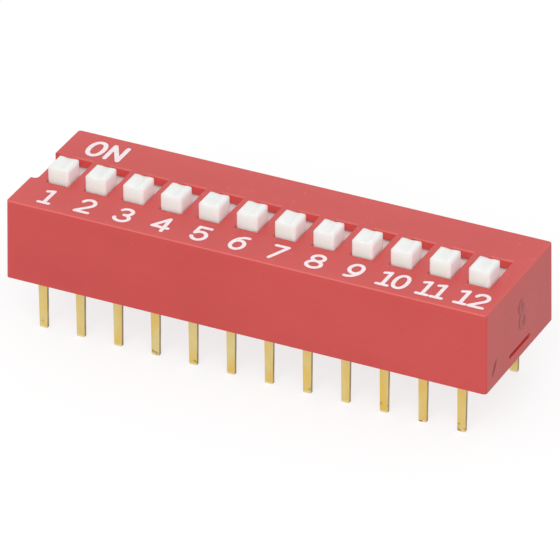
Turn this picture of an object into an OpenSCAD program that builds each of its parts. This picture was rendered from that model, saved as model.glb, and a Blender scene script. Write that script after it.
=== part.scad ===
// Dual in-line slide switch with raised levers.
// Millimetres, +Z up. The origin is on the seating plane, which is the cover's bottom rim,
// midway between the two pin rows. +X runs from the first position to the last.
// -Y is the numbered side, where the levers stand when off, and +Y is the ON side.

/* [Grid] */
// Number of switches
positions = 12; // [2:1:14]
// Distance between neighbouring switches
pitch = 2.54; // [2.11:0.01:3.2]
// Distance between the two rows of pins
row_spacing = 7.62; // [6.34:0.01:12]

/* [Cover] */
// From the last pin's centre to the cover's end, at the rim
end_margin = 1.985; // [1.9:0.005:4]
// From a pin row to the cover's side, at the rim, unless the sliders need a wider cover
side_margin = 1.08; // [0.9:0.01:2.5]
// From the rim to the cover's top
cover_h = 5.36; // [4.46:0.02:9]
// Thickness of the cover's roof
roof_t = 0.59; // [0.4:0.01:1]
// Thickness of the cover's long walls
side_wall = 0.65; // [0.4:0.01:0.78]
// How far each end wall leans in over its height
end_draft = 0.082; // [0:0.002:0.2]
// How far each long wall leans in over its height
side_draft = 0.058; // [0:0.002:0.15]
// Radius of the upright edges
corner_r = 0.22; // [0.21:0.01:0.6]
// Radius of the edges round the top
top_edge_r = 0.1; // [0.05:0.01:0.2]

/* [Index notch] */
// Thickness of the end wall that is left behind the notch
notch_wall = 0.4; // [0.2:0.01:0.6]
// Width of the notch along the end wall
notch_w = 3.36; // [1:0.02:4]
// Depth of the notch below the cover's top
notch_h = 1.6; // [0.3:0.05:3]
// Radius of the notch's inner corners
notch_r = 0.28; // [0.1:0.01:0.5]

/* [Levers and slots] */
// Travel of a lever from OFF to ON
travel = 1.64; // [1:0.01:2.2]
// Width of a lever
lever_w = 1.39; // [0.8:0.01:1.7]
// Length of a lever along its travel
lever_l = 1.64; // [1:0.01:2]
// Height of a lever above the cover's top
lever_h = 1.08; // [0.4:0.02:2.5]
// Gap between a lever and each long side of its slot
lever_side_gap = 0.035; // [0.02:0.005:0.2]
// Gap left between a lever and its slot's end at each stop
lever_end_gap = 0.06; // [0.05:0.005:0.3]
// How far the slots' centre line stands from the middle of the cover, towards ON
slot_shift = -0.07; // [-0.3:0.01:0.3]
// Chamfer round a slot's upper edge
slot_chamfer = 0.07; // [0.02:0.01:0.15]
// Depth of the hollow along a lever's top
lever_dish = 0.14; // [0.02:0.01:0.15]
// Radius of a lever's upright edges
lever_corner_r = 0.18; // [0.04:0.01:0.3]
// Radius of the edges round a lever's top
lever_edge_r = 0.28; // [0.04:0.01:0.32]
// Flat left between a lever's rounded top edge and its hollow
lever_flat = 0.02; // [0.02:0.01:0.1]

/* [Sliders] */
// Thickness of a lever's skirt, which keeps its slot closed
skirt_t = 0.8; // [0.5:0.02:1.2]
// How far the skirt reaches under each long side of the slot
skirt_side_lap = 0.22; // [0.1:0.01:0.3]
// How far the skirt reaches past the slot's end when the slider is at its other stop
skirt_end_lap = 0.15; // [0.05:0.01:0.4]
// Thickness of the walls round the spring's pocket
pocket_wall = 0.35; // [0.2:0.01:0.45]
// Depth of plastic between the skirt's underside and the pocket
pocket_roof = 0.35; // [0.1:0.01:0.6]

/* [Base] */
// Height of the base's underside above the seating plane
base_lift = 0.06; // [0.02:0.01:0.5]
// Thickness of the base's floor
floor_t = 1.84; // [1.3:0.02:2.4]
// Least thickness of the side walls that stop the sliders
stop_wall = 0.5; // [0.3:0.01:0.59]
// Width of the window for the base's catch in each end wall
window_w = 3; // [1.5:0.02:4]
// Height of that window
window_h = 0.28; // [0.26:0.01:0.6]
// Height of the window's middle above the rim
window_z = 0.73; // [0.3:0.01:1.2]
// Radius of the window's corners
window_r = 0.12; // [0.09:0.01:0.13]
// How far the catch's face stands back from the rim's line
catch_inset = 0.18; // [0.1:0.01:0.6]
// How far the snap bead stands out of the base's long sides
bead = 0.12; // [0.08:0.01:0.2]
// Height of the snap bead's ridge above the seating plane
bead_z = 1.1; // [0.8:0.02:1.3]

/* [Terminals] */
// Thickness of the terminal strip
strip_t = 0.22; // [0.18:0.01:0.35]
// Width of a pin below the cover
pin_w = 0.6; // [0.4:0.01:0.8]
// Width of a pin just above its tip
pin_tip_w = 0.52; // [0.3:0.01:0.6]
// Chamfer at each side of a pin's tip
pin_tip_chamfer = 0.05; // [0.02:0.01:0.14]
// Length of a pin below the seating plane
pin_l = 3.6; // [2:0.05:5]
// Width of the terminal inside the base, and of its contact pad
pad_w = 1.2; // [0.8:0.02:1.6]
// Height of the terminal's shoulders above the seating plane
shoulder_z = 0.7; // [0.4:0.02:0.9]
// Inner radius of the terminal's bend
bend_r = 0.2; // [0.05:0.01:0.4]

/* [Contact springs] */
// Thickness of the spring leaf
leaf_t = 0.08; // [0.05:0.01:0.12]
// How much farther apart the spring's two feet are than the travel
foot_reach = 0.34; // [0.2:0.01:0.8]
// Length of the spring's flat crown
crown_l = 0.9; // [0.5:0.05:1.3]
// Radius of the rounded feet, to the middle of the leaf
foot_r = 0.13; // [0.08:0.01:0.2]
// How far a pad runs on past the foot that rests on it
foot_land = 0.2; // [0.15:0.01:0.4]
// Distance from the free foot to the ON pad when the switch is off
open_gap = 0.35; // [0.2:0.01:0.5]

/* [Clearances] */
// Between the base and the cover's walls
base_gap = 0.05; // [0.02:0.01:0.08]
// Between a slider and its channel's sides
channel_gap = 0.05; // [0.02:0.005:0.08]
// Between a slider and the roof, and between a slider and its stops
slide_gap = 0.04; // [0.02:0.005:0.08]
// Between a carrier and the floor
carrier_gap = 0.1; // [0.05:0.01:0.2]
// Between a spring and the walls of its pocket
spring_gap = 0.06; // [0.03:0.01:0.1]
// Between a foot and its pad
foot_gap = 0.01; // [0.005:0.005:0.03]

/* [Hidden] */
// Facets of a full circle
$fn = 32;
// Overrun of a cut past the surface that it opens
cut = 1;
// Height of the slab that marks the rim in the cover's hull
rim_slab = 0.01;

// Slots, and the channels that the sliders run in
slot_w = lever_w + 2 * lever_side_gap;
slot_l = lever_l + travel + 2 * lever_end_gap;
skirt_w = slot_w + 2 * skirt_side_lap;
skirt_l = slot_l + travel + 2 * skirt_end_lap;
channel_w = skirt_w + 2 * channel_gap;
channel_l = skirt_l + travel + 2 * slide_gap;

// Cover, as wide as the pins and the sliders both need
width_for_pins = row_spacing + 2 * side_margin;
width_for_sliders = channel_l + 2 * (abs(slot_shift) + stop_wall + base_gap + side_wall);
cover_w = max(width_for_pins, width_for_sliders);
cover_l = (positions - 1) * pitch + 2 * end_margin;
roof_z = cover_h - roof_t;
cavity_l = (positions - 1) * pitch + channel_w;
cavity_w = cover_w - 2 * side_wall;
end_wall = (cover_l - cavity_l) / 2;

// Levers and sliders
off_y = slot_shift - travel / 2;
on_y = slot_shift + travel / 2;
skirt_top = roof_z - slide_gap;
skirt_bottom = skirt_top - skirt_t;
lever_top = cover_h + lever_h;
dish_half = lever_w / 2 - lever_edge_r - lever_flat;
dish_r = dish_half * dish_half / (2 * lever_dish) + lever_dish / 2;

// Base
floor_z = base_lift + floor_t;
base_l = cavity_l - 2 * base_gap;
base_w = cavity_w - 2 * base_gap;
rib_t = pitch - channel_w;

// Carrier, which is the block below the skirt, and its pocket
foot_span = travel + foot_reach;
carrier_bottom = floor_z + carrier_gap;
pocket_top = skirt_bottom - pocket_roof;
pocket_w = skirt_w - 2 * pocket_wall;
pocket_l = foot_span + 2 * foot_r + leaf_t + 2 * spring_gap;
carrier_l = pocket_l + 2 * pocket_wall;

// Terminals
off_pad_end = on_y - foot_span / 2 + foot_land;
on_pad_end = off_y + foot_span / 2 + open_gap;

// Contact springs
leaf_w = pocket_w - 2 * spring_gap;
foot_z = floor_z + foot_gap + foot_r + leaf_t / 2;
crown_z = pocket_top - leaf_t / 2;
foot_arc = [20:20:160];

// A node's name, such as actuator_03
function numbered(name, i) = str(name, "_", i < 10 ? "0" : "", i);

// Where switch i stands along the cover
function switch_x(i) = (i - (positions + 1) / 2) * pitch;

// A direction square to the stretch from point a to point b
function normal(a, b) = [a[1] - b[1], b[0] - a[0]] / norm(b - a);

// The offset direction at point i of a line, so that both stretches beside it keep their thickness
function mitre(line, i) =
    let (
        before = normal(line[max(i - 1, 0)], line[max(i, 1)]),
        after = normal(line[min(i, len(line) - 2)], line[min(i + 1, len(line) - 1)])
    )
    (before + after) / (1 + before * after);

// The outline of a leaf of thickness t that follows a line of points
function leaf_outline(line, t) = concat(
    [for (i = [0:len(line) - 1]) line[i] + mitre(line, i) * t / 2],
    [for (i = [len(line) - 1:-1:0]) line[i] - mitre(line, i) * t / 2]
);

// A rectangle with round corners, centred on the origin
module round_rectangle(w, l, r) {
    square([w - 2 * r, l], center = true);
    square([w, l - 2 * r], center = true);
    for (x = [-1, 1], y = [-1, 1]) {
        translate([x * (w / 2 - r), y * (l / 2 - r)]) circle(r);
    }
}

// Stands a drawing of Y and Z up, and gives it width w along X
module across(w) {
    rotate([90, 0, 90]) linear_extrude(w, center = true) children();
}

// Stands a drawing of X and Z up, and gives it length l along Y
module along(l) {
    rotate([90, 0, 0]) linear_extrude(l, center = true) children();
}

// The cover's outer form, with leaning walls and round edges
module cover_form() {
    hull() {
        for (x = [-1, 1], y = [-1, 1]) {
            translate([x * (cover_l / 2 - corner_r), y * (cover_w / 2 - corner_r), 0]) {
                cylinder(r = corner_r, h = rim_slab);
            }
            translate([
                x * (cover_l / 2 - end_draft - corner_r),
                y * (cover_w / 2 - side_draft - corner_r),
                cover_h - top_edge_r
            ]) {
                rotate_extrude() {
                    square([corner_r - top_edge_r, top_edge_r]);
                    translate([corner_r - top_edge_r, 0]) intersection() {
                        circle(top_edge_r);
                        square(top_edge_r);
                    }
                }
            }
        }
    }
}

// A slot with a chamfered upper edge, as a cut
module slot_cut() {
    rise = slot_chamfer + cut;
    translate([0, 0, roof_z - cut]) {
        linear_extrude(roof_t + 2 * cut) square([slot_w, slot_l], center = true);
    }
    translate([0, 0, cover_h - slot_chamfer]) intersection() {
        along(slot_l + 2 * rise) flare(slot_w / 2, rise);
        across(slot_w + 2 * rise) flare(slot_l / 2, rise);
    }
}

// A shape that widens by its own height, from half width h at the bottom
module flare(h, rise) {
    polygon([[-h, 0], [h, 0], [h + rise, rise], [-h - rise, rise]]);
}

module cover() {
    color("#d0504e") difference() {
        cover_form();
        translate([-cavity_l / 2, -cavity_w / 2, -cut]) cube([cavity_l, cavity_w, roof_z + cut]);
        for (i = [1:positions]) {
            translate([switch_x(i), slot_shift, 0]) slot_cut();
        }
        // index notch
        translate([-cover_l / 2, 0, cover_h - notch_h]) {
            linear_extrude(notch_h + cut) round_rectangle(2 * (end_wall - notch_wall), notch_w, notch_r);
        }
        // windows for the base's catches
        for (side = [-1, 1]) {
            translate([side * cover_l / 2, 0, 0]) across(2 * (end_wall + cut)) window_outline(0);
        }
        // grooves for the base's snap beads
        across(base_l) bead_outline(base_gap);
    }
}

// Both snap beads with the base's width between them, grown by the given gap
module bead_outline(gap) {
    tip = base_w / 2 + bead + gap;
    root = base_w / 2 - bead;
    rise = tip - root;
    polygon([
        [-tip, bead_z], [-root, bead_z - rise], [root, bead_z - rise],
        [tip, bead_z], [root, bead_z + rise], [-root, bead_z + rise]
    ]);
}

module base() {
    color("#b8403e") difference() {
        union() {
            translate([-base_l / 2, -base_w / 2, base_lift]) cube([base_l, base_w, floor_t]);
            // ribs between the channels
            for (i = [1:positions - 1]) {
                translate([switch_x(i) + pitch / 2 - rib_t / 2, -base_w / 2, base_lift]) {
                    cube([rib_t, base_w, roof_z - base_lift]);
                }
            }
            // walls along both sides, which stop the sliders
            difference() {
                translate([-base_l / 2, -base_w / 2, base_lift]) cube([base_l, base_w, roof_z - base_lift]);
                translate([-base_l / 2 - cut, slot_shift - channel_l / 2, base_lift - cut]) {
                    cube([base_l + 2 * cut, channel_l, roof_z - base_lift + 2 * cut]);
                }
            }
            // catches that stand in the cover's end windows
            across(cover_l - 2 * catch_inset) window_outline(base_gap);
            across(base_l - 2 * bead) bead_outline(0);
        }
        for (i = [1:positions]) {
            terminal(i, off_pad_end, -1);
            terminal(i, on_pad_end, 1);
        }
    }
}

// An end wall's window, shrunk by the given gap
module window_outline(gap) {
    translate([0, window_z]) round_rectangle(window_w - 2 * gap, window_h - 2 * gap, window_r - gap);
}

// A lever: round-edged, with a shallow hollow along its top
module lever() {
    bottom = skirt_bottom;
    tall = lever_top - bottom;
    intersection() {
        translate([0, 0, bottom]) {
            linear_extrude(tall) round_rectangle(lever_w, lever_l, lever_corner_r);
        }
        along(lever_l) translate([0, bottom]) round_top(lever_w, tall);
        across(lever_w) translate([0, bottom]) round_top(lever_l, tall);
    }
}

// A rectangle that stands on the origin, with round upper corners
module round_top(w, h) {
    translate([-w / 2, 0]) square([w, h - lever_edge_r]);
    translate([0, h / 2]) round_rectangle(w, h, lever_edge_r);
}

module actuator(i) {
    color("#f2f0ec") translate([switch_x(i), off_y, 0]) difference() {
        union() {
            lever();
            translate([-skirt_w / 2, -skirt_l / 2, skirt_bottom]) cube([skirt_w, skirt_l, skirt_t]);
            translate([-skirt_w / 2, -carrier_l / 2, carrier_bottom]) {
                cube([skirt_w, carrier_l, skirt_bottom - carrier_bottom]);
            }
        }
        // hollow along the lever's top
        along(lever_l + 2 * cut) translate([0, lever_top - lever_dish + dish_r]) circle(dish_r);
        // pocket for the contact spring
        translate([-pocket_w / 2, -pocket_l / 2, carrier_bottom - cut]) {
            cube([pocket_w, pocket_l, pocket_top - carrier_bottom + cut]);
        }
    }
}

// The middle of the spring leaf, from the end of one foot, over the crown, to the other's
function leaf_line() =
    let (
        foot = [for (a = foot_arc) [foot_span / 2 + foot_r * cos(a), foot_z - foot_r * sin(a)]],
        right = concat(foot, [[crown_l / 2, crown_z]])
    )
    concat(right, [for (i = [len(right) - 1:-1:0]) [-right[i][0], right[i][1]]]);

module contact_spring(i) {
    color("#d9b45a") translate([switch_x(i), off_y, 0]) {
        across(leaf_w) polygon(leaf_outline(leaf_line(), leaf_t));
    }
}

// The strip seen from its end, on the side that +Y is on: a leg, a bend and a pad that ends at pad_end
module strip_section(pad_end) {
    outer_y = row_spacing / 2 + strip_t / 2;
    outer_r = bend_r + strip_t;
    translate([outer_y - strip_t, -pin_l]) square([strip_t, pin_l + floor_z - outer_r]);
    translate([pad_end, floor_z - strip_t]) square([outer_y - outer_r - pad_end, strip_t]);
    translate([outer_y - outer_r, floor_z - outer_r]) intersection() {
        difference() {
            circle(outer_r);
            circle(bend_r);
        }
        square(outer_r);
    }
}

// The strip seen from its wide side: pin, shoulders and pad
module strip_front() {
    tip_z = pin_tip_chamfer - pin_l;
    half_tip = pin_tip_w / 2;
    half_pin = pin_w / 2;
    half_pad = pad_w / 2;
    polygon([
        [-half_tip + pin_tip_chamfer, -pin_l], [half_tip - pin_tip_chamfer, -pin_l],
        [half_tip, tip_z], [half_pin, 0], [half_pin, shoulder_z], [half_pad, shoulder_z],
        [half_pad, floor_z], [-half_pad, floor_z], [-half_pad, shoulder_z],
        [-half_pin, shoulder_z], [-half_pin, 0], [-half_tip, tip_z]
    ]);
}

// A terminal of switch i on one side of the cover, with its pad's inner end at y = pad_end
module terminal(i, pad_end, side) {
    color("#e0bf62") translate([switch_x(i), 0, 0]) intersection() {
        if (side > 0) {
            across(pad_w) strip_section(pad_end);
        } else {
            mirror([0, 1, 0]) across(pad_w) strip_section(-pad_end);
        }
        along(cover_w) strip_front();
    }
}

cover();
base();
for (i = [1:positions]) {
    actuator(i);
    contact_spring(i);
    terminal(i, off_pad_end, -1);
    terminal(i, on_pad_end, 1);
}
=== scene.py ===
"""Looks of the slide switch: materials, print, floor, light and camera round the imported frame."""

import math

import bmesh
import bpy
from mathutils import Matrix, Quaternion, Vector
from mathutils.geometry import delaunay_2d_cdt


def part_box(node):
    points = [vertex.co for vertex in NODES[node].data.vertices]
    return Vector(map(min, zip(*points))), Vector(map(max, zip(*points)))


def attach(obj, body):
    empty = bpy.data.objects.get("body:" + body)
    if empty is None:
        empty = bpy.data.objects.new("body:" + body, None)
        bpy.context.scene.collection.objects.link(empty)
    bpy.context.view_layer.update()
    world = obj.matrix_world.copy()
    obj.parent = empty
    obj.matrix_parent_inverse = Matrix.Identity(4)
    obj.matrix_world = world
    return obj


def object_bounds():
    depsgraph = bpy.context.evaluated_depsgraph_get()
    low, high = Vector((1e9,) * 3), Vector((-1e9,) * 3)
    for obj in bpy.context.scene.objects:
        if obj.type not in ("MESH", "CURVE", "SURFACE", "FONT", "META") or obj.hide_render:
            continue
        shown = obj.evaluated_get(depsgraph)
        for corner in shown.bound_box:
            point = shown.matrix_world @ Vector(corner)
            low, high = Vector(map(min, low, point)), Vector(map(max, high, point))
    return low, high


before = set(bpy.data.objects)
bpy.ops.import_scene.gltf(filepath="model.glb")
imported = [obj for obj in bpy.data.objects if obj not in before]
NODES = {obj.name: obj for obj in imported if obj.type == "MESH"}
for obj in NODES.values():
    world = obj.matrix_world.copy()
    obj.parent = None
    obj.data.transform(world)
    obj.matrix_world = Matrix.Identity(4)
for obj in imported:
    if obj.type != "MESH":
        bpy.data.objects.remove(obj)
CAD_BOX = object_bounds()

# Sizes and places below are in millimetres, and MM turns them into Blender's metres
MM = 0.001
POSITIONS = sum(name.startswith("actuator_") for name in NODES)


def numbered(name, i):
    return f"{name}_{i:02d}"


# ---------------------------------------------------------------- places taken from the frame

COVER_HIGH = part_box("cover")[1]
END_X = COVER_HIGH.x / MM
TOP_Z = COVER_HIGH.z / MM
TIP_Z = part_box("terminal_front_01")[0].z / MM
FLOOR_Z = CAD_BOX[0].z / MM
SWITCH_X = [sum(c.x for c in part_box(numbered("actuator", i))) / 2 / MM for i in range(1, POSITIONS + 1)]


# ---------------------------------------------------------------- shader helpers

class Shader:
    """A material or world node tree with short ways to add and join nodes."""

    def __init__(self, owner):
        owner.use_nodes = True
        self.owner = owner
        self.tree = owner.node_tree
        self.tree.nodes.clear()

    def node(self, kind, inputs=None, **settings):
        """Adds a node. The inputs are numbers, colours or other nodes' sockets, by name or number."""
        made = self.tree.nodes.new(kind)
        for key, value in settings.items():
            setattr(made, key, value)
        for key, value in (inputs or {}).items():
            self.feed(made.inputs[key], value)
        return made

    def feed(self, socket, value):
        if isinstance(value, bpy.types.NodeSocket):
            self.tree.links.new(value, socket)
        else:
            socket.default_value = value

    def maths(self, operation, a, b=0.0):
        return self.node("ShaderNodeMath", {0: a, 1: b}, operation=operation).outputs[0]

    def vector_maths(self, operation, a, b=(0.0, 0.0, 0.0), result=0):
        return self.node("ShaderNodeVectorMath", {0: a, 1: b}, operation=operation).outputs[result]

    def parts(self, vector):
        """A vector's X, Y and Z."""
        return self.node("ShaderNodeSeparateXYZ", {0: vector}).outputs

    def place(self):
        """The point on the object, in millimetres in the frame."""
        where = self.node("ShaderNodeTexCoord").outputs["Object"]
        return self.vector_maths("MULTIPLY", where, (1 / MM, 1 / MM, 1 / MM))

    def normal(self):
        return self.node("ShaderNodeNewGeometry").outputs["Normal"]

    def noise(self, where, scale, detail=2.0, rough=0.5, stretch=None):
        if stretch:
            where = self.vector_maths("MULTIPLY", where, stretch)
        made = self.node("ShaderNodeTexNoise",
                         {"Vector": where, "Scale": scale, "Detail": detail, "Roughness": rough})
        return made.outputs["Fac"]

    def spread(self, value, low, high, to_low=0.0, to_high=1.0, smooth=False):
        """Maps low..high to to_low..to_high and holds it there outside."""
        inputs = {"Value": value, "From Min": low, "From Max": high, "To Min": to_low, "To Max": to_high}
        made = self.node("ShaderNodeMapRange", inputs)
        if smooth:
            made.interpolation_type = "SMOOTHSTEP"
        return made.outputs["Result"]

    def blend(self, factor, a, b):
        """Colour a where the factor is 0, and b where it is 1."""
        made = self.node("ShaderNodeMix", data_type="RGBA")
        for socket, value in zip((made.inputs[0], made.inputs[6], made.inputs[7]), (factor, a, b)):
            self.feed(socket, value)
        return made.outputs[2]

    def bump(self, height, strength, distance, under=None):
        inputs = {"Height": height, "Strength": strength, "Distance": distance * MM}
        if under is not None:
            inputs["Normal"] = under
        return self.node("ShaderNodeBump", inputs).outputs[0]

    def seen(self):
        """1 for rays from the camera, off gloss and through glass. Only the floor and the world use it."""
        path = self.node("ShaderNodeLightPath").outputs
        direct = self.maths("MAXIMUM", path["Is Camera Ray"], path["Is Glossy Ray"])
        return self.maths("MAXIMUM", direct, path["Is Transmission Ray"])

    def surface(self, shader):
        self.node("ShaderNodeOutputMaterial", {"Surface": shader})
        return self.owner

    def principled(self, inputs):
        """Ends a material in a Principled surface, and returns the material."""
        return self.surface(self.node("ShaderNodeBsdfPrincipled", inputs).outputs[0])


def rgb(red, green, blue):
    """A linear colour from 0-255 display values."""
    def linear(v):
        v /= 255
        return v / 12.92 if v <= 0.04045 else ((v + 0.055) / 1.055) ** 2.4
    return (linear(red), linear(green), linear(blue), 1.0)


# ---------------------------------------------------------------- red mouldings

# A brighter, more saturated red painted on the inner walls as a glow of light
RED_PAINTED_GLOW = rgb(219, 74, 72)
# A paler red painted on the edge slopes as a highlight
RED_EDGE_HIGHLIGHT = rgb(206, 118, 111)
RED_SPECK = rgb(236, 150, 146)
# Dark red for a rub on the right end and for painted shade in the figure's rings
RED_DIRT_AND_SHADE = rgb(108, 32, 32)

# How much of the painted highlight colour shows on an edge
EDGE_HIGHLIGHT = 0.85

# The usual specular level, and how much of it the dark marks take away
SPECULAR = 0.5
MARKS_DULL = 0.45

# Dark marks on the right end: y, z, slant, half length, half width, strength.
# First a rub by the front corner, then painted shade inside the two rings of the mould's figure.
END_MARKS = (
    (-3.66, 1.2, 57, 0.75, 0.2, 0.85),
    (0.31, 3.30, 80, 0.30, 0.16, 0.4),
    (0.46, 2.25, 90, 0.30, 0.2, 0.3),
)

# How far a mark reaches inwards from the end wall
MARK_DEPTH = 0.4


def moulded_red(name, light, dark, marks=()):
    """Satin red moulding: faint flow mottling, a fine eroded grain, a few pale specks, a little depth, a
    painted highlight on the edge slopes and a painted glow on the inner walls.
    """
    s = Shader(bpy.data.materials.new(name))
    where = s.place()
    flow = s.noise(where, 0.22, detail=3.0, rough=0.55, stretch=(0.5, 1.0, 1.0))
    speckle = s.noise(where, 9.0, rough=0.6)
    colour = s.blend(s.spread(flow, 0.3, 0.7), dark, light)
    colour = s.blend(s.spread(speckle, 0.35, 0.75, 0.0, 0.12), colour, light)
    # Painted light: the inner walls get the brighter red
    colour = s.blend(inner_wall(s, where), colour, RED_PAINTED_GLOW)
    # Painted highlight along the edge slopes
    colour = s.blend(s.maths("MULTIPLY", worn_edge(s), EDGE_HIGHLIGHT), colour, RED_EDGE_HIGHLIGHT)
    specks = s.spread(s.noise(where, 3.1, detail=1.0, rough=0.4), 0.735, 0.775, 0.0, 0.14)
    colour = s.blend(specks, colour, RED_SPECK)
    specular = SPECULAR
    # Darker red and less gloss where the marks lie: a real rub, and painted shade in the mould figure's rings
    if marks:
        dirt_and_shade = 0.0
        for mark in marks:
            dirt_and_shade = s.maths("MAXIMUM", smudge(s, where, *mark), dirt_and_shade)
        colour = s.blend(dirt_and_shade, colour, RED_DIRT_AND_SHADE)
        specular = s.maths("SUBTRACT", SPECULAR, s.maths("MULTIPLY", dirt_and_shade, MARKS_DULL))
    wave = s.noise(where, 0.5, detail=1.0, rough=0.4)
    grain = s.noise(where, 16.0, rough=0.6)
    return s.principled({
        "Base Color": colour,
        "Roughness": s.spread(speckle, 0.3, 0.7, 0.42, 0.52),
        "IOR": 1.57,
        "Specular IOR Level": specular,
        "Subsurface Weight": 0.45,
        "Subsurface Scale": 0.9 * MM,
        "Subsurface Radius": (1.0, 0.25, 0.2),
        "Normal": s.bump(grain, 0.18, 0.012, s.bump(wave, 0.25, 0.05)),
    })


def worn_edge(s):
    """1 on the slopes between the top and the sides, and less where such a slope faces right: the mask of a
    painted highlight along the edges.
    """
    x, _, z = s.parts(s.normal())
    sloping = s.maths("MULTIPLY", s.spread(z, 0.25, 0.5), s.spread(z, 0.97, 0.9))
    return s.maths("MULTIPLY", sloping, s.spread(x, -0.5, 0.6, 1.0, 0.35))


def inner_wall(s, where):
    """1 on the upright walls inside the cover and its slots, where a brighter red is painted as a glow of
    light.
    """
    upright = s.spread(s.maths("ABSOLUTE", s.parts(s.normal())[2]), 0.4, 0.2)
    x, y, _ = s.parts(s.vector_maths("ABSOLUTE", where))
    between_sides = s.spread(y, 3.0, 2.6)
    between_ends = s.spread(x, END_X - 0.3, END_X - 0.5)
    return s.maths("MULTIPLY", upright, s.maths("MULTIPLY", between_sides, between_ends))


def smudge(s, where, y, z, slant, long, wide, strength):
    """A soft dark mark on the cover's right end, slanting up from +Y by the given degrees."""
    off = s.vector_maths("SUBTRACT", where, (END_X, y, z))
    turn = math.radians(slant)
    ways = (((0.0, math.cos(turn), math.sin(turn)), long),
            ((0.0, -math.sin(turn), math.cos(turn)), wide),
            ((1.0, 0.0, 0.0), MARK_DEPTH))
    total = 0.0
    for way, reach in ways:
        share = s.maths("DIVIDE", s.vector_maths("DOT_PRODUCT", off, way, result="Value"), reach)
        total = s.maths("ADD", s.maths("MULTIPLY", share, share), total)
    patchy = s.spread(s.noise(where, 2.6, detail=3.0, rough=0.6), 0.3, 0.6, 0.4, 1.0)
    return s.maths("MULTIPLY", s.spread(total, 1.0, 0.1, 0.0, strength, smooth=True), patchy)


# ---------------------------------------------------------------- white levers

NYLON = rgb(240, 243, 240)
NYLON_CLOUD = rgb(235, 239, 237)
# Whiter nylon painted on the levers' front, back and sides as painted light
NYLON_FRONT_PAINTED_LIGHT = rgb(231, 243, 237)
NYLON_SIDE_PAINTED_LIGHT = rgb(248, 254, 251)
# A greyer nylon painted on the top's front and back slopes as shade
NYLON_PAINTED_SHADE = rgb(224, 227, 223)
# A whiter nylon painted low on the skirts as light
NYLON_PAINTED_LIGHT_INSIDE = rgb(252, 254, 252)

# Where the sliders' skirts end under the roof
SKIRT_TOP = 4.73

# How far the shading rounds a lever's creases
CREASE = 0.14


def moulded_white():
    """White nylon, a little translucent and cloudy, with painted light on its upright faces and low on the
    skirt, and painted shade on the top's slopes that face front and back.
    """
    s = Shader(bpy.data.materials.new("white_moulding"))
    where = s.place()
    colour = s.blend(s.spread(s.noise(where, 0.9), 0.3, 0.7), NYLON_CLOUD, NYLON)
    rounded = s.node("ShaderNodeBevel", {"Radius": CREASE * MM}, samples=6).outputs[0]
    x, y, z = s.parts(rounded)
    upright = s.spread(s.maths("ABSOLUTE", z), 0.5, 0.1)
    sides = s.spread(s.maths("ABSOLUTE", x), 0.4, 0.9)
    # Painted light: upright faces get the whiter copies, the sides most
    colour = s.blend(upright, colour, s.blend(sides, NYLON_FRONT_PAINTED_LIGHT, NYLON_SIDE_PAINTED_LIGHT))
    # Painted shade on the slopes that face front and back
    slope_shade = s.maths("MULTIPLY", s.maths("ABSOLUTE", y), s.spread(z, 0.0, 0.5, 0.0, 1.4))
    colour = s.blend(slope_shade, colour, NYLON_PAINTED_SHADE)
    # Painted light: the skirt under the roof is painted whiter against the shade there
    inside = s.spread(s.parts(where)[2], SKIRT_TOP + 0.2, SKIRT_TOP + 0.05)
    colour = s.blend(inside, colour, NYLON_PAINTED_LIGHT_INSIDE)
    grain = s.noise(where, 11.0)
    return s.principled({
        "Base Color": colour,
        "Roughness": s.spread(grain, 0.3, 0.7, 0.36, 0.46),
        "IOR": 1.5,
        "Subsurface Weight": 1.0,
        "Subsurface Scale": 0.7 * MM,
        "Subsurface Radius": (1.0, 1.0, 1.0),
        "Normal": s.bump(grain, 0.12, 0.01, rounded),
    })


# ---------------------------------------------------------------- gold strip and ink

# A duller gold painted high on the pins as shade under the cover
GOLD_PAINTED_SHADE_UPPER = rgb(206, 186, 136)
GOLD_CUT = rgb(232, 224, 200)
GOLD_TORN = rgb(172, 150, 104)
TARNISH = rgb(120, 72, 34)

INK_FULL = rgb(252, 242, 246)
INK_THIN = rgb(244, 218, 222)


def gold_plate(name, light, dark, sheared):
    """Flash gold on drawn strip: fine draw lines, spots near the tip, sheared edges of darker metal, and
    painted shade high up by the cover.
    """
    s = Shader(bpy.data.materials.new(name))
    where = s.place()
    above_tip = s.maths("SUBTRACT", s.parts(where)[2], TIP_Z)
    patches = s.noise(where, 0.75, stretch=(1.0, 1.0, 0.45))
    colour = s.blend(s.spread(patches, 0.38, 0.62), dark, light)
    # Painted shade: the pins turn duller towards the cover
    colour = s.blend(s.spread(above_tip, 1.6, 3.1, 0.0, 0.4), colour, GOLD_PAINTED_SHADE_UPPER)
    colour = s.blend(s.spread(above_tip, 0.16, 0.06, 0.0, 0.7), colour, GOLD_CUT)
    spots = s.spread(s.noise(where, 1.7, rough=0.6), 0.58, 0.66, 0.0, 0.7, smooth=True)
    near_tip = s.spread(above_tip, 0.1, 0.9, 1.0, 0.0)
    colour = s.blend(s.maths("MULTIPLY", spots, near_tip), colour, TARNISH)
    streaks = s.noise(where, 1.6, detail=3.0, rough=0.6, stretch=(1.0, 5.0, 0.6))
    torn = s.blend(s.spread(streaks, 0.35, 0.65), sheared, GOLD_TORN)
    edge = s.spread(s.maths("ABSOLUTE", s.parts(s.normal())[0]), 0.6, 0.8)
    lines = s.noise(where, 3.0, detail=3.0, rough=0.6, stretch=(6.0, 6.0, 0.5))
    return s.principled({
        "Base Color": s.blend(edge, colour, torn),
        "Metallic": 1.0,
        "Roughness": s.spread(lines, 0.3, 0.7, 0.24, 0.4),
        "Normal": s.bump(lines, 0.3, 0.01),
    })


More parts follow.
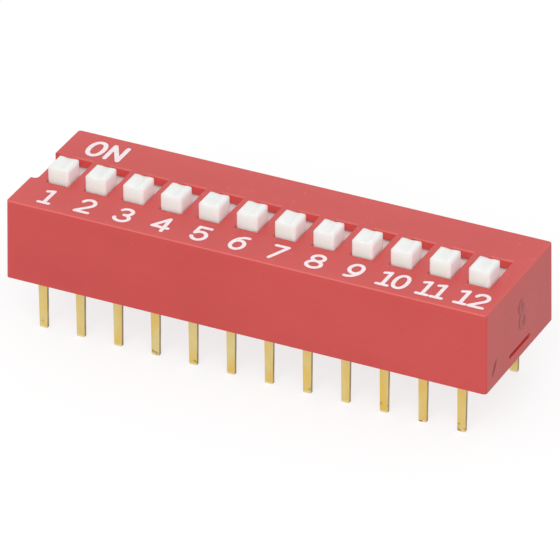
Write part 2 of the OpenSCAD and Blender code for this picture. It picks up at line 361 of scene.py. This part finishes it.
def white_print():
    """Pad-printed ink: near white, a little of the red showing through where the film is thin."""
    s = Shader(bpy.data.materials.new("white_print"))
    thin = s.noise(s.place(), 5.0, detail=3.0, rough=0.65)
    return s.principled({
        "Base Color": s.blend(s.spread(thin, 0.35, 0.75), INK_FULL, INK_THIN),
        "Roughness": s.spread(thin, 0.3, 0.7, 0.5, 0.6),
        "IOR": 1.48,
        "Normal": s.bump(thin, 0.15, 0.006),
    })


def clothe(node, material):
    """Gives a CAD node its material, in place of any that it has."""
    mesh = NODES[node].data
    mesh.materials.clear()
    mesh.materials.append(material)


RED = moulded_red("red_moulding", rgb(209, 75, 72), rgb(203, 69, 66), END_MARKS)
# The base's red is painted lighter than the cover's, as painted light on the shaded catch in the end windows
BASE_RED_PAINTED_LIGHT = moulded_red("red_base", rgb(217, 80, 76), rgb(210, 73, 70))
WHITE = moulded_white()
GOLD = gold_plate("gold_plated_strip", rgb(222, 204, 142), rgb(226, 190, 100), rgb(118, 100, 68))
LEAF = gold_plate("spring_leaf", rgb(226, 190, 112), rgb(206, 168, 92), rgb(150, 120, 76))
INK = white_print()

clothe("cover", RED)
clothe("base", BASE_RED_PAINTED_LIGHT)
for i in range(1, POSITIONS + 1):
    clothe(numbered("actuator", i), WHITE)
    clothe(numbered("contact_spring", i), LEAF)
    clothe(numbered("terminal_front", i), GOLD)
    clothe(numbered("terminal_back", i), GOLD)


# ---------------------------------------------------------------- figures and letters, as round-ended strokes

def arc(x, y, across, high, start, end, steps=20):
    """Points along an ellipse, from one angle to another in degrees."""
    angles = [math.radians(start + (end - start) * i / steps) for i in range(steps + 1)]
    return [(x + across * math.cos(a), y + high * math.sin(a)) for a in angles]


def ring(x, y, across, high, power=2.0, steps=40):
    """A closed oval line, squarer where the power is above 2."""
    points = []
    for i in range(steps):
        a = 2 * math.pi * i / steps
        c, s = math.cos(a), math.sin(a)
        points.append((x + across * math.copysign(abs(c) ** (2 / power), c),
                       y + high * math.copysign(abs(s) ** (2 / power), s)))
    return points


def sweep(a, b, c, d, steps=14):
    """Points along a Bezier curve."""
    points = []
    for i in range(steps + 1):
        t = i / steps
        share = ((1 - t) ** 3, 3 * t * (1 - t) ** 2, 3 * t * t * (1 - t), t ** 3)
        points.append(tuple(sum(k * p[axis] for k, p in zip(share, (a, b, c, d))) for axis in (0, 1)))
    return points


# Half the height of a figure and of a letter, to the middle of the stroke
TALL = 0.725
LETTER_TALL = 0.785

SIX = [("ring", ring(0, -0.225, 0.41, 0.5)),
       ("line", sweep((0.38, 0.69), (0.12, 0.78), (-0.41, 0.5), (-0.41, -0.20)))]

GLYPHS = {
    "0": [("ring", ring(0, 0, 0.40, TALL, 2.2))],
    "1": [("line", [(-0.34, 0.59), (0.05, TALL)]), ("line", [(0.05, TALL), (0.03, -TALL)]),
          ("line", [(-0.33, -TALL), (0.35, -TALL)])],
    "2": [("line", arc(0.01, 0.31, 0.40, 0.415, 165, -45) + [(-0.42, -0.70)]),
          ("line", [(-0.42, -TALL), (0.44, -TALL)])],
    "3": [("line", arc(0, 0.38, 0.38, 0.345, 155, -90)), ("line", arc(0, -0.345, 0.46, 0.38, 90, -170))],
    "4": [("line", [(0.2, TALL), (-0.5, -0.32)]), ("line", [(-0.5, -0.32), (0.52, -0.32)]),
          ("line", [(0.22, TALL), (0.27, -TALL)])],
    "5": [("line", [(-0.33, TALL), (0.40, TALL)]), ("line", [(-0.33, TALL), (-0.36, 0.04)]),
          ("line", arc(0.02, -0.255, 0.44, 0.47, 148, -158))],
    "6": SIX,
    "7": [("line", [(-0.38, TALL), (0.42, TALL)]), ("line", [(0.42, TALL), (-0.22, -TALL)])],
    "8": [("ring", ring(0, 0.385, 0.38, 0.34)), ("ring", ring(0, -0.34, 0.455, 0.385))],
    "9": [(kind, [(-x, -y) for x, y in points]) for kind, points in SIX],
    "end 8": [("ring", ring(-0.07, 0.52, 0.32, 0.40)), ("ring", ring(0.06, -0.47, 0.40, 0.47))],
    "O": [("ring", ring(0, 0, 0.46, LETTER_TALL + 0.02, 2.2))],
    "N": [("line", [(-0.43, -LETTER_TALL), (-0.43, LETTER_TALL)]),
          ("line", [(-0.43, LETTER_TALL), (0.43, -LETTER_TALL)]),
          ("line", [(0.43, -LETTER_TALL), (0.43, LETTER_TALL)])],
}

# How much room each character takes along its line
ROOM = {"1": 0.93, "2": 1.12, "O": 1.35, "N": 1.35}
USUAL_ROOM = 1.0

# Straight stretches round the half disc at a stroke's end
CAP_STEPS = 10

# Points nearer than this are one point
SAME_POINT = 1e-5


def edges_of(line, half, closed):
    """The two edges of a stroke that runs the given half width to each side of a line."""
    points = [Vector(p) for p in line]
    left, right = [], []
    for i, here in enumerate(points):
        behind = points[i - 1] if closed or i else None
        ahead = points[(i + 1) % len(points)] if closed or i + 1 < len(points) else None
        way_in = (here - behind).normalized() if behind else (ahead - here).normalized()
        way_out = (ahead - here).normalized() if ahead else way_in
        middle = (way_in + way_out).normalized()
        off = Vector((-middle.y, middle.x)) * half / middle.dot(way_out)
        left.append(here + off)
        right.append(here - off)
    return left, right


def end_cap(rim, end):
    """A half disc round a stroke's end, from a point on its rim."""
    arm = rim - Vector(end)
    turns = [Quaternion((0, 0, 1), math.pi * k / CAP_STEPS) for k in range(CAP_STEPS + 1)]
    return [Vector(end) + turn.to_matrix().to_2x2() @ arm for turn in turns]


def stroke_faces(kind, line, half):
    """Flat polygons that cover one stroke: a quad for each stretch, and a half disc at each open end."""
    closed = kind == "ring"
    left, right = edges_of(line, half, closed)
    count = len(line)
    faces = []
    for i in range(count if closed else count - 1):
        j = (i + 1) % count
        faces.append([left[i], left[j], right[j], right[i]])
    if not closed:
        faces += [end_cap(left[0], line[0]), end_cap(right[-1], line[-1])]
    return faces


def merged(faces):
    """The union of flat polygons, as points and triangles that keep its outline."""
    points, loops = [], []
    for face in faces:
        area = sum(a.cross(b) for a, b in zip(face, face[1:] + face[:1]))
        ordered = face if area > 0 else face[::-1]
        loops.append(list(range(len(points), len(points) + len(ordered))))
        points.extend(ordered)
    made, _, triangles, _, _, sources = delaunay_2d_cdt(points, [], loops, 0, SAME_POINT, True)
    return made, [corners for corners, source in zip(triangles, sources) if source]


def relief(mesh, faces, lift, sink, place):
    """Adds a slab over flat polygons to a bmesh. place turns (u, v, height) into a point in metres."""
    points, triangles = merged(faces)
    top = [mesh.verts.new(place(p.x, p.y, lift)) for p in points]
    low = [mesh.verts.new(place(p.x, p.y, -sink)) for p in points]
    sides = []
    for a, b, c in triangles:
        mesh.faces.new((top[a], top[b], top[c]))
        mesh.faces.new((low[c], low[b], low[a]))
        sides += [(a, b), (b, c), (c, a)]
    shared = set(sides)
    for start, end in sides:
        if (end, start) not in shared:
            mesh.faces.new((top[end], top[start], low[start], low[end]))
    loose = [v for v in mesh.verts if not v.link_faces]
    bmesh.ops.delete(mesh, geom=loose, context="VERTS")


def written(name, texts, half, lift, sink, place, material):
    """One piece that carries several texts, each centred on its point: (letters, u, v)."""
    shape = bmesh.new()
    for letters, u, v in texts:
        faces = []
        reached = u - sum(ROOM.get(letter, USUAL_ROOM) for letter in letters) / 2
        for letter in letters:
            room = ROOM.get(letter, USUAL_ROOM)
            shift = Vector((reached + room / 2, v))
            reached += room
            for kind, line in GLYPHS[letter]:
                faces += [[p + shift for p in face] for face in stroke_faces(kind, line, half)]
        relief(shape, faces, lift, sink, place)
    mesh = bpy.data.meshes.new(name)
    shape.to_mesh(mesh)
    shape.free()
    mesh.materials.append(material)
    made = bpy.data.objects.new(name, mesh)
    bpy.context.scene.collection.objects.link(made)
    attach(made, "housing")
    return made


# ---------------------------------------------------------------- print and mould figure

# How far the cover's end walls lean in over its height
END_LEAN = 0.082


def on_top(u, v, height):
    return (u * MM, v * MM, (TOP_Z + height) * MM)


def on_right_end(u, v, height):
    lean = END_LEAN * v / TOP_Z
    return ((END_X + height - lean) * MM, u * MM, v * MM)


# How far the print's film and the mould's figure stand out of the cover, and reach into it
FILM = 0.012
MOULDED = 0.022
ROOTED = 0.006

# Half the width of a stroke in the figures, the letters and the mould's figure
NUMBER_HALF = 0.1225
LETTER_HALF = 0.147
MOULDED_HALF = 0.13

# The figures stand a little right of their switches, on a slightly longer scale
NUMBER_Y = -3.40
NUMBER_SHIFT = 0.325
PRINT_STRETCH = 1.005

# The word's middle is this far right of the first switch
ON_SHIFT = 0.885
ON_Y = 3.10

MOULDED_Y = 0.38
MOULDED_Z = 2.74

numbers = [(str(i), x * PRINT_STRETCH + NUMBER_SHIFT, NUMBER_Y) for i, x in enumerate(SWITCH_X, start=1)]
written("position_numbers", numbers, NUMBER_HALF, FILM, ROOTED, on_top, INK)

legend = [("ON", SWITCH_X[0] + ON_SHIFT, ON_Y)]
written("on_legend", legend, LETTER_HALF, FILM, ROOTED, on_top, INK)

end_figure = [(["end 8"], MOULDED_Y, MOULDED_Z)]
written("mould_figure", end_figure, MOULDED_HALF, MOULDED, ROOTED, on_right_end, RED)


# ---------------------------------------------------------------- floor, light and camera

WHITE_LIGHT = (1.0, 1.0, 1.0, 1.0)

# Half the floor's side
FLOOR_HALF = 600

# The floor's grey where it lights the switch, and where it is seen, with the glow that makes it white there
FLOOR_LIGHTING = (0.47, 0.47, 0.47, 1.0)
FLOOR_SEEN = (0.26, 0.26, 0.26, 1.0)
FLOOR_GLOW = 0.76

# The strength of the sky's light, and its strength where it is seen
SKY_LIGHT = 0.68
SKY_SEEN = 1.0

# Watts that light a facing surface at one metre to its own colour
FULL_LEVEL = math.pi ** 2


def floor():
    """A pale seamless floor under the pins' tips, which keeps the switch's shadow and is clear from below."""
    corners = [(x * FLOOR_HALF * MM, y * FLOOR_HALF * MM, FLOOR_Z * MM)
               for x, y in ((-1, -1), (1, -1), (1, 1), (-1, 1))]
    mesh = bpy.data.meshes.new("floor")
    mesh.from_pydata(corners, [], [(0, 1, 2, 3)])
    made = bpy.data.objects.new("floor", mesh)
    bpy.context.scene.collection.objects.link(made)
    s = Shader(bpy.data.materials.new("pale_floor"))
    matt = s.node("ShaderNodeBsdfDiffuse", {"Color": FLOOR_LIGHTING}).outputs[0]
    paler = s.node("ShaderNodeBsdfDiffuse", {"Color": FLOOR_SEEN}).outputs[0]
    glow = s.node("ShaderNodeEmission", {"Color": WHITE_LIGHT, "Strength": FLOOR_GLOW}).outputs[0]
    white = s.node("ShaderNodeAddShader", {0: paler, 1: glow}).outputs[0]
    upper = s.node("ShaderNodeMixShader", {0: s.seen(), 1: matt, 2: white}).outputs[0]
    clear = s.node("ShaderNodeBsdfTransparent").outputs[0]
    below = s.node("ShaderNodeNewGeometry").outputs["Backfacing"]
    mixed = s.node("ShaderNodeMixShader", {0: below, 1: upper, 2: clear}).outputs[0]
    mesh.materials.append(s.surface(mixed))


def sky():
    """White to the camera and in reflections, and a softer even light on everything."""
    world = bpy.data.worlds.new("studio")
    bpy.context.scene.world = world
    s = Shader(world)
    soft = s.node("ShaderNodeBackground", {"Color": WHITE_LIGHT, "Strength": SKY_LIGHT}).outputs[0]
    white = s.node("ShaderNodeBackground", {"Color": WHITE_LIGHT, "Strength": SKY_SEEN}).outputs[0]
    mixed = s.node("ShaderNodeMixShader", {0: s.seen(), 1: soft, 2: white}).outputs[0]
    s.node("ShaderNodeOutputWorld", {"Surface": mixed})


def softbox(name, direction, distance, size, level):
    """A square lamp that faces the switch from the given direction, at a share of the full level."""
    data = bpy.data.lights.new(name, "AREA")
    data.shape = "SQUARE"
    data.size = size * MM
    data.energy = level * FULL_LEVEL * (distance * MM) ** 2
    lamp = bpy.data.objects.new(name, data)
    away = Vector(direction).normalized()
    lamp.location = away * distance * MM
    lamp.rotation_euler = away.to_track_quat("Z", "Y").to_euler()
    bpy.context.scene.collection.objects.link(lamp)


def camera():
    """A long lens from the front right and above."""
    where = Vector((154.217, -319.215, 210.326)) * MM
    aim = Vector((-0.122, 0.537, 0.910)) * MM
    roll = Quaternion((0, 0, 1), math.radians(-0.119))
    data = bpy.data.cameras.new("camera")
    data.sensor_width = 36.0
    data.lens = 438.96
    data.clip_start = 50 * MM
    data.clip_end = 10000 * MM
    made = bpy.data.objects.new("camera", data)
    made.location = where
    made.rotation_euler = ((where - aim).to_track_quat("Z", "Y") @ roll).to_euler()
    bpy.context.scene.collection.objects.link(made)
    bpy.context.scene.camera = made


floor()
sky()
softbox("key", direction=(0.2, -0.74, 0.65), distance=600, size=500, level=0.59)
camera()

scene = bpy.context.scene
scene.view_settings.view_transform = "Standard"
